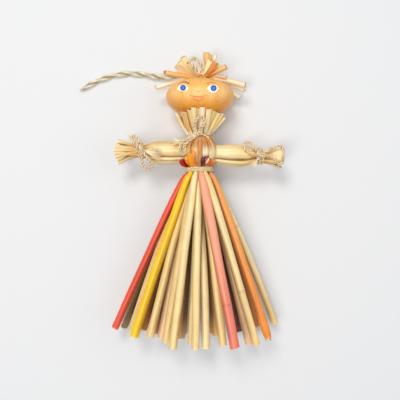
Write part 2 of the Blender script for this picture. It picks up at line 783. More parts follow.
def onBead(px, py, lift):
    eye = Vector((0, -photo["cameraBelowWaist"], photo["cameraHeight"]))
    way = (fromPixel(px, py, 0.0) - eye).normalized()
    for half in (head["chin"], head["crown"]):
        squash = Vector((1 / head["radius"], 1 / half, 1 / head["radius"]))
        start = (eye - headMiddle) * squash
        run = way * squash
        a, b, c = run.dot(run), start.dot(run), start.dot(start) - 1
        hit = eye + way * ((-b - math.sqrt(max(0.0, b * b - a * c))) / a)
        if hit.y < headMiddle.y or half == head["crown"]:
            break
    out = ((hit - headMiddle) * squash * squash).normalized()
    return hit + out * lift


def cheekTint(place, tint):
    share = 0.0
    for px, py in head["cheeks"]:
        away = (place - onBead(px, py, 0.0)).length / head["cheekReach"]
        share = max(share, 0.6 * math.exp(-away * away))
    return mixTint(tint, fromScreen(*head["cheekTint"]), share)


def makeBead():
    shell = Shell()
    profile = beadProfile()
    top, low = fromScreen(*head["tint"]), fromScreen(*head["lowTint"])
    rings, tints = [], []
    for radius, height in profile:
        turns = [-math.tau * k / head["segments"] for k in range(head["segments"])]
        rings.append([headMiddle + Vector((radius * math.cos(a), height, radius * math.sin(a))) for a in turns])
        part = min(1, max(0, (height + head["chin"]) / (head["chin"] + head["crown"])))
        tints.append([cheekTint(place, mixTint(low, top, part)) for place in rings[-1]])
    shell.loft(rings[::-1], [h for r, h in profile[::-1]], tints[::-1], closed=True)
    shell.toPiece("woodenHead", varnishedBead, "head", ["head"], 80)


# Face: points are pixels of the photograph, carried onto the bead's front
face = {
    "eyeWhite": (250, 246, 240),
    "irisRim": (34, 84, 176),
    "irisMiddle": (66, 136, 214),
    "browInner": (104, 62, 26),
    "browMiddle": (128, 78, 36),
    "browOuter": (190, 126, 62),
    "nose": (212, 132, 66),
    "mouth": (228, 130, 76),
    "lip": (252, 174, 98),
    "lipEdge": (224, 124, 56),
    "leftEye": [(176.7, 88.6), (179.0, 86.0), (182.5, 84.6), (186.0, 85.2), (188.6, 88.4), (186.5, 90.2), (183.0, 91.2), (179.5, 90.4)],
    "rightEye": [(206.4, 88.4), (209.2, 85.9), (212.7, 84.9), (216.5, 85.3), (219.0, 88.6), (216.5, 91.4), (213.1, 92.8), (209.2, 91.1)],
    "irises": [(183.1, 87.8, 2.9), (213.6, 88.2, 3.0)],
    "leftBrow": [(178.3, 83.8), (181.7, 82.5), (185.1, 81.9), (189.3, 83.8)],
    "rightBrow": [(216.5, 83.6), (212.3, 82.5), (209.2, 82.8), (206.9, 84.1)],
    "noseLine": [(195.7, 90.1), (197.0, 91.4), (198.5, 91.7), (200.0, 91.4), (201.2, 90.1)],
    "mouthLine": [(188.9, 94.7), (191.0, 95.5), (193.8, 96.2), (198.1, 96.5), (202.6, 96.2), (205.4, 95.6), (207.6, 94.9)],
    "lipLine": [(192.6, 97.0), (194.6, 99.6), (198.6, 101.1), (202.3, 99.4), (204.1, 97.0)],
    "lowerLip": [(192.8, 96.8), (198.5, 97.0), (203.9, 97.0), (201.2, 99.8), (198.5, 101.0), (195.9, 99.8)],
    "chinLine": [(198.5, 100.9), (198.6, 102.4), (198.8, 104.4)],
    "chin": (240, 150, 56),
}


def addPatch(shell, outline, lift, colour, edgeColour=None, rings=4):
    # a thin paint film: a domed top over the outline, and a back inside the wood
    middle = Vector((sum(p[0] for p in outline), sum(p[1] for p in outline))) / len(outline)
    rows, tints = [], []
    inner, outer = fromScreen(*colour), fromScreen(*(edgeColour or colour))
    for k in range(1, rings + 1):
        t = k / rings
        ring = [middle.lerp(Vector(p), t) for p in outline]
        rows.append([onBead(p.x, p.y, lift * (1 - 0.4 * t ** 4)) for p in ring])
        tints.append(inner if t < 0.75 else outer)
    rows.append([onBead(p[0], p[1], -0.12) for p in outline])
    tints.append(outer)
    rows.append([onBead(p.x, p.y, -0.25) for p in [middle.lerp(Vector(p), 0.25) for p in outline]])
    tints.append(outer)
    shell.loft(rows[::-1], [0.0] * len(rows), tints[::-1])


def roundedOutline(corners, count, keep=()):
    # a smooth closed curve through the corners; those in keep stay sharp
    found = []
    size = len(corners)
    for i in range(size):
        a, b, c, d = [Vector(corners[(i + j) % size]) for j in (-1, 0, 1, 2)]
        for k in range(count):
            t = k / count
            first = (c - b) if i in keep else (c - a) / 2
            last = (c - b) if (i + 1) % size in keep else (d - b) / 2
            p = b * (1 + 2 * t) * (1 - t) ** 2 + first * t * (1 - t) ** 2
            found.append(p + c * t * t * (3 - 2 * t) + last * t * t * (t - 1))
    return found[::-1]


def addStroke(shell, corners, widths, lift, colours):
    # a brush line that tapers to its ends
    knots = [Vector((*p, 0)) for p in corners]
    course = smoothCourse(knots, 0.4)
    points = [p for p, at in course]
    tangents = courseTangents(points)
    rows, tints = [], []
    for (point, at), tangent in zip(course, tangents):
        half = max(between(widths, at) / 2, 0.05)
        side = Vector((-tangent.y, tangent.x, 0))
        level = [(-1, -0.1), (-0.6, lift * 0.7), (0, lift), (0.6, lift * 0.7), (1, -0.1), (0, -0.2)]
        rows.append([onBead(point.x + side.x * half * w, point.y + side.y * half * w, up) for w, up in level])
        tints.append(between([fromScreen(*c) for c in colours], at * (len(colours) - 1) / (len(corners) - 1)))
    shell.loft(rows, courseRuns(points), tints)


def makeFace():
    shell = Shell()
    for eye in ("leftEye", "rightEye"):
        addPatch(shell, roundedOutline(face[eye], 5, keep=(0, 4)), 0.05, face["eyeWhite"])
    for px, py, radius in face["irises"]:
        turns = [-math.tau * k / 32 for k in range(32)]
        for reach, lift, colour in ((1.0, 0.09, "irisRim"), (0.62, 0.12, "irisMiddle")):
            outline = [(px + radius * reach * math.cos(a), py + radius * reach * math.sin(a)) for a in turns]
            addPatch(shell, outline, lift, face[colour])
    addStroke(shell, face["leftBrow"], [0.4, 0.9, 1.7, 1.5], 0.05, [face["browOuter"], face["browInner"]])
    addStroke(shell, face["rightBrow"], [0.4, 0.8, 1.0, 0.8], 0.05, [face["browOuter"], face["browMiddle"]])
    addStroke(shell, face["noseLine"], [0.3, 0.8, 0.95, 0.8, 0.3], 0.04, [face["nose"]] * 2)
    addPatch(shell, roundedOutline(face["lowerLip"], 5, keep=(0, 2)), 0.05, face["lip"])
    addStroke(shell, face["lipLine"], [0.4, 0.7, 0.8, 0.7, 0.4], 0.08, [face["lipEdge"]] * 2)
    addStroke(shell, face["chinLine"], [0.7, 0.9, 0.3], 0.03, [face["chin"]] * 2)
    addStroke(shell, face["mouthLine"], [0.4, 0.9, 1.1, 1.1, 1.1, 0.9, 0.4], 0.08, [face["mouth"]] * 2)
    shell.toPiece("paintedFace", facePaint, "head", sharp=60)


makeBead()
makeFace()
print("head turned and painted")


# Neck stalk: the straws that the head is threaded on
stalk = {
    "rows": [(15.8, 3.4), (20.3, 3.5), (30.4, 5.2), (53.4, 5.2)],  # height and diameter
    "tint": (214, 160, 92),
}


def makeStalk():
    rows = [(Vector((0, height, axisHeight)), wide, wide, stalk["tint"]) for height, wide in stalk["rows"]]
    strawPiece("neckStalk", rows, plainStraw, "torso", ["neck_stalk"], bores=(0, 3.0))


makeStalk()


# Skirt and body: straws fanned from the waist tie; the body ones run on over the chest to the collar
waist = {
    "outer": 6.4,
    "inner": 3.2,
    "shift": -0.6,  # the bundle sits a little to the left
    "half": 2.0,  # below the tie
    "pinch": 2.3,
    "knee": 4.6,
    "spring": 0.9,
    "lay": 0.55,
    "places": (181, 165, 134, 106, 80, 14, -8, -30, -52, -77, -103, -129, -154, -174),  # degrees round the tie
    "frontBodyPlace": 57,  # the last front body straw comes up among the dyed ones
    "bore": 22.0,
    "inward": (0.70, 14.0, outOfBody),  # the back straws are darker inside the bundle, but not near the hem
    "frontInward": (0.42, 8.0, outOfBody),
}
tone = {
    "pale": (246, 214, 146),
    "cream": (250, 226, 168),
    "tan": (226, 178, 108),
    "brown": (190, 124, 56),
    "chest": (198, 132, 56),
    "shade": (168, 108, 52),
    "red": (240, 84, 56),
    "redDeep": (200, 22, 20),
    "yellow": (255, 204, 6),
    "salmon": (252, 172, 138),
    "orange": (246, 148, 58),
    "orangePale": (250, 168, 82),
    "olive": (156, 132, 78),
    "darkRed": (112, 30, 22),
    "purple": (74, 22, 26),
    "crimson": (150, 30, 34),
    "amber": (242, 154, 16),
    "amberDeep": (226, 128, 16),
    "rust": (206, 104, 36),
    "bone": (252, 238, 204),
    "pink": (240, 202, 156),
    "ginger": (246, 180, 92),
    "burnt": (214, 130, 30),
    "apricot": (242, 192, 124),
    "salmonDeep": (240, 126, 100),
}
# slot, name, node ending, material, fan in degrees, hem height, length, width, colours at hem, middle and waist
skirtStraws = [
    (0, "LeftPale", "left_pale", "pale", -23.0, 14.0, 106.9, 4.6, ("pale", "pale", "pale")),
    (1, "Red", "red", "dyed", -28.1, 17.0, 109.0, 4.4, ("red", "red", "red")),
    (2, "Yellow", "yellow", "dyed", -21.4, 25.0, 106.9, 5.2, ("yellow", "yellow", "yellow")),
    (3, "FrontPale", "front_pale", "pale", -8.5, 34.0, 106.0, 4.7, ("pale", "cream", "cream")),
    (4, "Salmon", "salmon", "dyed", 10.9, 35.0, 106.0, 5.6, ("salmonDeep", "salmon", "salmon")),
    (5, "Orange", "orange", "dyed", 21.9, 24.0, 109.5, 4.9, ("orange", "orangePale", "orangePale")),
    (6, "RightPale", "right_pale", "pale", 25.8, 13.0, 105.0, 4.1, ("pale", "cream", "cream")),
    (7, "BackRightOuter", "back_right_1", "pale", 19.6, 9.0, 103.0, 4.6, ("brown", "shade", "shade")),
    (8, "BackRightInner", "back_right_2", "pale", 22.6, 3.0, 105.0, 4.6, ("brown", "shade", "shade")),
    (9, "BackDarkRed", "back_dark_red", "dyed", 13.7, None, 105.0, 4.6, ("darkRed", "darkRed", "darkRed")),
    (10, "BackMiddle", "back_middle", "pale", 3.7, None, 103.0, 4.6, ("tan", "pale", "tan")),
    (11, "BackLeftInner", "back_left_1", "pale", -6.0, None, 104.0, 4.6, ("tan", "tan", "pale")),
    (12, "BackLeftOuter", "back_left_2", "pale", -15.5, 3.0, 106.0, 4.6, ("brown", "tan", "tan")),
    (13, "Olive", "olive", "dyed", -25.8, 3.5, 110.0, 4.3, ("olive", "olive", "olive")),
]
# stubs above the tie: place at the tie in degrees, tip's place and lift off the chest, width, thickness, colours
stubs = {
    1: (161, (-11.0, 4.2, 1.2), 4.0, 1.4, "redDeep", "redDeep"),
    2: (126, (-7.8, 6.4, 1.0), 4.0, 1.2, "amberDeep", "amber"),
    3: (98, (-1.8, 9.3, 0.8), 2.7, 1.3, "brown", "tan"),
    4: (68, (4.0, 6.6, 0.8), 3.0, 1.3, "crimson", "crimson"),
    5: (38, (7.3, 4.7, 0.8), 4.0, 1.3, "rust", "orange"),
}
looseStubs = [
    ("Amber", 113, (-3.5, 9.9, 1.0), 3.6, 1.2, "amberDeep", "amber"),
    ("AmberMiddle", 119, (-5.8, 8.1, 1.6), 3.4, 1.1, "amber", "amber"),
    ("Tan", 89, (0.3, 9.2, 0.9), 2.8, 1.3, "brown", "chest"),
    ("Purple", 79, (2.2, 6.2, 1.7), 2.6, 1.2, "purple", "purple"),
    ("Curl", 64, (5.0, 4.8, 2.2), 1.4, 0.9, "pink", "bone"),
    ("Rust", 48, (5.6, 4.8, 1.0), 2.6, 1.1, "rust", "rust"),
]
# straws bent between hem and tie: how far to the right and to the front
strawBends = {"RightPale": (0.9, 1.0), "Back3": (0.6, 2.8)}
skirtJoints = {"FrontPale": (0.26,), "Salmon": (0.22,), "RightPale": (0.62,), "BackMiddle": (0.5,)}


def roundWaist(radius, degrees, height):
    return roundBody(radius, degrees, height) + Vector((waist["shift"], 0, 0))


def skirtRows(fan, hemHeight, reach, width, foot, colours, bend=None):
    turn = math.radians(fan)
    resting = width / 2
    thick = width * 0.95
    end = Vector((reach * math.sin(turn), -reach * math.cos(turn), max(hemHeight or 0, resting)))
    low, middle, high = [tone[c] for c in colours]
    rows = [(end, width, thick, low)]
    target = end
    if hemHeight is None:
        target = foot.lerp(end, waist["lay"])
        target.z = resting
        rows.append((target.lerp(end, waist["knee"] / reach), width, thick, middle))
        rows.append((target, width, thick, middle))
    outward = outOfBody(foot).normalized()
    knee = foot + (target - foot).normalized() * waist["knee"] + outward * waist["spring"]
    upper = knee.lerp(target, 0.16) + outward * 0.5
    if bend:
        place = end.lerp(upper, 0.55) + Vector((bend[0], 0, bend[1]))
        rows.append((place, width, thick, middle))
    rows.append((upper, width * 0.97, width * 0.92, middle))
    rows.append((knee, width * 0.80, width * 0.72, high))
    rows.append((foot, max(waist["pinch"], width * 0.54), waist["pinch"], high))
    return rows


def onChest(x, height, lift):
    up = height - chest["armHeight"] + x * math.tan(math.radians(chest["droop"]))
    radius = chest["armRadius"] + chest["thickness"] + lift
    return Vector((x, height, axisHeight + math.sqrt(radius ** 2 - up ** 2)))


def stubRows(degrees, tip, wide, thick, low, top):
    start = roundWaist(waist["outer"] + 1.1, degrees, 1.6)
    tip = onChest(*tip)
    middle = start.lerp(tip, 0.55) + outOfBody(start).normalized() * 0.5
    return [
        (start, wide * 0.72, thick, tone[low]),
        (middle, wide, thick, tone[low]),
        (tip, wide * 0.8, thick * 0.7, tone[top]),
    ]


def makeLooseStubs():
    for label, degrees, *shape in looseStubs:
        low = tone[shape[3]]
        rows = [(roundWaist(waist["outer"] + 0.3, degrees, -0.8), waist["pinch"], shape[2], low)]
        rows += stubRows(degrees, *shape)
        strawPiece("stub" + label, rows, dyedStraw, "torso", bores=(0.0, 0.0), cuts=(0.2, 1.2))


# Frayed hem end: strips of the slit wall go on beyond the tube
prongs = {
    "length": 10.0,
    "turns": (-68, -24, 18, 62, 115, 180, 240),  # degrees round the straw
    "reach": (0.78, 1.0, 0.88, 0.97, 0.9, 0.8, 0.92),
    "width": 2.0,
}


def addProngs(shell, name, end, way, width, colour):
    front = towardsCamera(end)
    front = (front - way * front.dot(way)).normalized()
    side = way.cross(front)
    for number, (degrees, reach) in enumerate(zip(prongs["turns"], prongs["reach"])):
        turn = math.radians(degrees)
        out = front * math.cos(turn) + side * math.sin(turn)
        rows = []
        for along, radius, wide in ((-2.5, 0.46, 1.0), (0.35, 0.48, 0.95), (0.7, 0.46, 0.85), (1.0, 0.40, 0.6)):
            run = along * prongs["length"] * reach if along > 0 else along
            rows.append((end + way * run + out * width * radius, prongs["width"] * wide, 0.25 * wide, colour, tone["pale"]))
        addSplitStraw(shell, f"{name}Prong{number}", rows, facing=lambda p: out, ragged=0.3)


def makeSkirt():
    for slot, label, node, kind, fan, hem, reach, width, colours in skirtStraws:
        name = "skirtStraw" + label
        frayed = label == "Orange"
        degrees = waist["places"][slot]
        foot = roundWaist(waist["outer"], degrees, -waist["half"])
        rows = skirtRows(fan, hem, reach, width, foot, colours, strawBends.get(label))
        rows.append((roundWaist(waist["outer"], degrees, 1.0), waist["pinch"], waist["pinch"], tone[colours[2]]))
        shell = Shell()
        if frayed:
            end, beside = rows[0][0], rows[1][0]
            way = (end - beside).normalized()
            rows[0] = (end - way * prongs["length"], *rows[0][1:])
            addProngs(shell, name, rows[0][0], way, width, tone[colours[0]])
        if slot in stubs:
            rows += stubRows(*stubs[slot])
        inward = waist["inward" if slot > 6 else "frontInward"]
        joints = skirtJoints.get(label, ())
        addStraw(shell, name, rows, bores=(waist["bore"], 0.0), cuts=(0.9, 1.2), joints=joints, inward=inward)
        material = plainStraw if kind == "pale" else dyedStraw
        shell.toPiece(name, material, "torso", ["skirt_straw_" + node])


# name, node, place across the row, fan, hem height, length, width, colours; front row first
bodyStraws = [
    ("Front1", "front_1", -2, -16.5, 26.0, 104.0, 4.9, ("pale", "pale", "tan")),
    ("Front2", "front_2", -1, -11.0, 25.0, 105.0, 5.3, ("pale", "pale", "pale")),
    ("Front3", "front_3", 0, -1.5, 33.0, 105.0, 4.7, ("pale", "cream", "cream")),
    ("Front4", "front_4", 1, 7.4, 30.0, 104.5, 4.9, ("pale", "pale", "pale")),
    ("Front5", "front_5", 2, 17.7, 29.0, 109.0, 4.8, ("pale", "cream", "pale")),
    ("Back1", "back_1", -2, 15.6, 19.0, 109.5, 4.5, ("pink", "pink", "tan")),
    ("Back2", "back_2", -1, 5.4, 14.0, 102.0, 4.3, ("tan", "tan", "tan")),
    ("Back3", "back_3", 0, 1.9, 25.5, 106.0, 4.9, ("cream", "cream", "cream")),
    ("Back4", "back_4", 1, -6.3, 14.0, 104.0, 4.6, ("tan", "tan", "tan")),
    ("Back5", "back_5", 2, -19.4, 12.0, 104.0, 4.4, ("brown", "shade", "tan")),
]
bodyJoints = {"Front5": (0.215,)}
# straws that end inside the tie: name, degrees round the tie, fan, hem height, length, width, colours
slippedStraws = [
    ("Left", 150, -13.0, 17.0, 104.6, 4.6, ("pink", "pink", "pale")),
    ("Middle", 80, -2.7, 24.0, 104.6, 4.4, ("pale", "pale", "tan")),
]
chest = {
    "armRadius": 6.45,
    "armHeight": 9.075,
    "droop": 2.6,  # degrees that the arms fall to the right
    "pitch": 3.7,
    "gather": 0.75,
    "places": ((50.0, 0.0), (90.0, 0.3), (125.0, 1.9)),  # degrees round the arms, and how far off them
    "shoulder": (18.3, 7.4, 0.64),  # height, distance to the front and gather where the straws turn in to the neck
    "width": 5.2,
    "thickness": 1.7,
    "tints": {  # at the low, middle and high places of the front straws
        -2: ("chest", "tan", "chest"),
        -1: ("chest", "pale", "chest"),
        0: ("brown", "chest", "chest"),
        1: ("chest", "bone", "chest"),
        2: ("cream", "cream", "chest"),
    },
}
neck = {
    "height": 18.325,
    "half": 1.95,
    "inner": 3.5,
    "outer": 6.0,
    "pinch": 1.9,
    "shift": -1.1,
}
collar = {
    "tip": 31.7,
    "radius": 13.6,
    "width": 3.1,
    "thickness": 2.3,
    "degrees": (165, 135, 105, 75, 45, 15, -45, -75, -105, -135),
}
# front tips by the photograph: pixel, height, width, tint; the others stand in a ring
collarTips = {
    "01": (176.4, 113.4, 24.0, 2.4, "cream"),
    "02": (183.4, 112.0, 30.6, 4.4, "apricot"),
    "03": (193.7, 107.7, 35.0, 3.3, "cream"),
    "04": (202.4, 107.4, 35.2, 3.5, "bone"),
    "05": (209.2, 109.2, 32.6, 3.8, "cream"),
    "06": (222.4, 113.8, 24.6, 2.4, "pale"),
    "Front1": (186.6, 113.0, 27.0, 3.4, "tan"),
    "Front2": (189.6, 109.6, 32.4, 3.7, "pale"),
    "Front3": (198.0, 108.2, 33.4, 2.9, "pink"),
    "Front4": (205.9, 108.8, 32.0, 3.2, "pink"),
    "Front5": (215.2, 110.8, 29.0, 5.2, "pale"),
    "Thin": (224.6, 117.6, 21.8, 2.2, "cream"),
    "Behind": (218.8, 113.4, 26.4, 3.4, "pale"),
}


def roundArms(x, radius, degrees):
    turn = math.radians(degrees)
    height = chest["armHeight"] - x * math.tan(math.radians(chest["droop"])) - radius * math.cos(turn)
    return Vector((x, height, axisHeight + radius * math.sin(turn)))


def roundNeck(radius, degrees, height):
    return roundBody(radius, degrees, height) + Vector((neck["shift"], 0, 0))


def collarRows(name, degrees, ringRadius):
    chance = random.Random("collar" + name)
    base = roundNeck(ringRadius, degrees, neck["height"] + neck["half"] * 0.8)
    if name in collarTips:
        px, py, height, width, tint = collarTips[name]
        tip = fromPixel(px, py, height)
    else:
        reach = collar["radius"] + chance.uniform(-0.3, 0.2)
        tip = roundBody(reach, degrees + chance.uniform(-3, 3), collar["tip"] + chance.uniform(-1.4, 0.3))
        width = collar["width"] * chance.uniform(0.88, 1.12)
        tint = chance.choice(("cream", "pale", "pink"))
    outward = outOfBody(tip).normalized()
    thick = min(width, collar["thickness"])
    return [
        (base, max(neck["pinch"], width * 0.70), neck["pinch"], tone["bone"]),
        (base.lerp(tip, 0.35) + outward * 0.4, width * 0.84, thick * 0.9, tone[tint]),
        (tip, width, thick, tone[tint]),
    ]


def makeBody():
    for index, (label, node, place, fan, hem, reach, width, colours) in enumerate(bodyStraws):
        side = 1 if index < 5 else -1
        degrees = 90 - place * 30 - (0 if side > 0 else 180)
        across = place * chest["pitch"] * side
        radius, atTie = waist["inner"], degrees
        if label == "Front5":
            radius, atTie = waist["outer"], waist["frontBodyPlace"]
        foot = roundWaist(radius, atTie, -waist["half"])
        rows = skirtRows(fan, hem, reach, width, foot, colours, strawBends.get(label))
        rows.append((roundWaist(radius, atTie, 0.7), waist["pinch"], waist["pinch"], tone["brown"]))
        hug = chest["armRadius"] + 0.3 + chest["thickness"] / 2
        gathers = (chest["gather"], 1.0, 0.9)
        for (turn, off), gather, colour in zip(chest["places"], gathers, chest["tints"][place]):
            tint = tone[colour if side > 0 else "chest"]
            where = roundArms(across * gather, hug + off, side * turn)
            rows.append((where, chest["width"] * gather ** 0.5, chest["thickness"], tint))
        height, front, gather = chest["shoulder"]
        where = Vector((across * gather, height, axisHeight + front * side))
        rows.append((where, chest["width"] * 0.78, chest["thickness"], tone["chest"]))
        low = roundNeck(neck["inner"], degrees, neck["height"] + neck["half"] * 0.2)
        rows.append((low, neck["pinch"], neck["pinch"], tone["brown"]))
        rows += collarRows(label, degrees, neck["inner"])
        strawPiece(
            "bodyStraw" + label,
            rows,
            plainStraw,
            "torso",
            ["body_straw_" + node],
            facing=outOfBody,
            bores=(waist["bore"], 4.0),
            cuts=(0.9, 0.5),
            joints=bodyJoints.get(label, ()),
            inward=waist["inward" if label in ("Back2", "Back4", "Back5") else "frontInward"],
        )


def makeSlippedStraws():
    for label, degrees, fan, hem, reach, width, colours in slippedStraws:
        foot = roundWaist(waist["inner"] * 0.5, degrees, -waist["half"])
        rows = skirtRows(fan, hem, reach, width, foot, colours)
        name = "skirtStrawSlipped" + label
        strawPiece(name, rows, plainStraw, "torso", bores=(waist["bore"], 0.0), cuts=(0.9, 0.3))


def makeCollar():
    rings = [(f"{number:02d}", degrees) for number, degrees in enumerate(collar["degrees"], 1)]
    for number, degrees in rings + [("Thin", 0), ("Behind", 24)]:
        foot = roundNeck(neck["outer"], degrees, neck["height"] - neck["half"] - 0.6)
        rows = [(foot, neck["pinch"], neck["pinch"], tone["brown"])]
        rows += collarRows(number, degrees, neck["outer"])
        strawPiece(
            "collarStraw" + number,
            rows,
            plainStraw,
            "torso",
            ["collar_straw_" + number] if number.isdigit() else (),
            facing=outOfBody,
            bores=(0.0, 4.0),
            cuts=(0.3, 1.0),
            slope=0.0,
        )


makeSkirt()
makeLooseStubs()
makeBody()
makeSlippedStraws()
makeCollar()
print("skirt, chest and collar laid")


# Arms: one bundle through the chest, splayed at the hands; one broad straw lies along the front
armTurn = Matrix.Rotation(-math.radians(chest["droop"]), 4, "Z")
armMiddle = Vector((0, chest["armHeight"], axisHeight))


def fromArms(point):
    return armMiddle + armTurn @ point


def outOfArms(point):
    way = point - armMiddle
    axis = armTurn @ Vector((1, 0, 0))
    return way - axis * way.dot(axis) + Vector((0, 0, 0.01))


arms = {
    "wrist": 71.5,
    "tiePitch": 2.4,
    "elbow": 8.0,
    "elbowSqueeze": 0.90,
    "wristSquash": 0.54,  # straws at the wrist lie at this part of their distance from the middle
    "wristPinch": 2.5,
    "chestHalf": 11.5,
    "chestSqueeze": 0.86,  # straws inside the chest lie closer, so that they clear it as the arms roll
    "inward": (0.75, 4.0, outOfArms),
}
# along the arms: distance up, distance to the front, width, thickness; hands: reach first
armStraws = {
    "middle": {
        "left": (49.0, -6.3, 3.0, 2.6, 2.4), "inLeft": (0.0, 0.0, 3.8, 3.8),
        "inRight": (0.0, 0.0, 3.8, 3.8), "right": (45.0, 0.0, -1.0, 3.0, 2.6),
    },
    "1": {
        "left": (49.6, 4.9, 1.4, 3.3, 2.8), "inLeft": (4.2, 0.2, 4.1, 4.1),
        "inRight": (4.2, 0.2, 4.1, 4.1), "right": (46.0, 3.6, 0.5, 3.0, 2.4),
    },
    "2": {
        "left": (50.4, 1.2, 5.0, 2.6, 2.4), "inLeft": (0.8, 3.9, 8.2, 4.4),
        "inRight": (1.0, 3.9, 8.5, 4.4), "right": (49.6, 0.2, 4.2, 9.2, 2.6),
    },
    "3": {
        "left": (50.2, -2.7, 5.4, 2.6, 2.4), "inLeft": (-4.1, 2.6, 2.7, 2.7),
        "inRight": (-4.4, 2.4, 3.1, 3.0), "right": (46.5, -3.4, 3.4, 3.2, 2.4),
    },
    "4": {
        "left": (48.6, -8.0, 1.2, 2.6, 2.3), "inLeft": (-5.7, 0.2, 2.7, 2.7),
        "inRight": (-5.8, -0.4, 2.2, 2.2), "right": (48.6, -6.6, 1.0, 1.9, 1.7),
    },
    "5": {
        "left": (48.0, -7.0, -2.4, 2.6, 2.3), "inLeft": (-2.2, -3.8, 4.1, 4.1),
        "inRight": (-2.2, -3.8, 4.1, 4.1), "right": (47.2, -4.0, -4.6, 3.2, 2.6),
    },
    "6": {
        "left": (48.6, 3.4, -5.2, 3.0, 2.6), "inLeft": (2.2, -3.8, 4.1, 4.1),
        "inRight": (2.2, -3.8, 4.1, 4.1), "right": (47.8, 3.6, -4.8, 3.4, 2.8),
    },
}
# thin straws that show in the left hand only: reach, distance up, distance to the front, width
handStraws = {"Upper": (50.8, -0.8, 5.9, 2.1), "Lower": (49.8, -4.6, 4.6, 2.1)}


def armRows(shape):
    rows = []
    elbow, inside = arms["elbowSqueeze"], arms["chestSqueeze"]
    for side, hand, inner in ((-1, "left", "inLeft"), (1, "right", "inRight")):
        reach, up, front, wide, thick = shape[hand]
        inUp, inFront, inWide, inThick = shape[inner]
        atWrist = Vector((0, inUp, inFront)) * arms["wristSquash"]
        pinch = min(arms["wristPinch"], inThick)
        pinchWide = min(max(pinch, inWide * 0.5), inWide)
        half = [
            (Vector((reach, up, front)), wide, thick, "cream"),
            (Vector((arms["wrist"] / 2 + arms["tiePitch"], 0, 0)) + atWrist, pinchWide, pinch, "tan"),
            (Vector((arms["wrist"] / 2 - arms["tiePitch"], 0, 0)) + atWrist, pinchWide, pinch, "tan"),
            (Vector((arms["wrist"] / 2 - arms["elbow"], inUp * elbow, inFront * elbow)), inWide * elbow, inThick, "pale"),
            (Vector((arms["wrist"] / 4, inUp, inFront)), inWide, inThick, "cream"),
            (Vector((arms["chestHalf"], inUp * inside, inFront * inside)), inWide * inside, inThick * inside, "cream"),
        ]
        for place, w, d, colour in half if side < 0 else half[::-1]:
            rows.append((fromArms(Vector((side * place.x, place.y, place.z))), w, d, tone[colour]))
    return rows


def makeHandStraws():
    for label, (reach, up, front, width) in handStraws.items():
        rows = [(fromArms(Vector((-reach, up, front))), width, width, tone["cream"])]
        for x in (arms["wrist"] / 2 + arms["tiePitch"], arms["wrist"] / 2 - arms["tiePitch"]):
            rows.append((fromArms(Vector((-x, up * 0.3, arms["wristPinch"]))), 1.5, 1.3, tone["tan"]))
        strawPiece("handStraw" + label, rows, plainStraw, "arms", facing=outOfArms, bores=(4.0, 0.0), cuts=(0.5, 0.2),
                   slope=math.pi)


def makeArms():
    for label, shape in armStraws.items():
        facing = towardsCamera if label == "2" else outOfArms
        strawPiece(
            "armStraw" + label.capitalize(),
            armRows(shape),
            plainStraw,
            "arms",
            ["arm_straw_" + label],
            facing=facing,
            bores=(4.0, 4.0),
            cuts=(0.5, 0.9),
            inward=arms["inward"],
            slope=math.pi,
        )


makeArms()
makeHandStraws()
print("arms laid")


# Twine ties: wraps round a bundle, a knot over them, then the loops and loose ends of a bow
twine = {
    "plies": 2,
    "plyRadius": 0.52,
    "layRadius": 0.42,
    "pitch": 4.6,
    "spacing": 0.3,
    "groove": 0.42,
    "yarnShade": 0.10,
    "sides": 10,
    "lobes": 3,
    "lobeDepth": 0.10,
    "lobeTwist": 1.1,
    "uneven": 0.10,
    "fibresPerMm": 0.8,
    "fibreLength": 1.8,
    "fibreRadius": 0.045,
    "tint": (255, 234, 196),
    "threadTint": (255, 236, 188),
    "threadScale": 0.56,
    "brushTint": (255, 236, 196),
    "fray": {"count": 14, "spread": 0.5, "length": 2.6, "bundle": 0.35, "radius": 0.07},
}
thread = {**twine, **{part: twine[part] * twine["threadScale"] for part in ("plyRadius", "layRadius", "groove")}}
wraps = {
    "turnPoints": 24,
    "waist": {"radius": 7.95, "turns": 3, "pitch": 0.85, "drop": -0.7},
    "neck": {"radius": 7.3, "turns": 1, "pitch": 0.6, "sag": 3.8, "lift": 1.7},
    "wrist": {"radius": 4.2, "turns": 2, "pitch": 1.8},
    "knotRadius": 0.9,
    "knotTurns": 1.4,
}
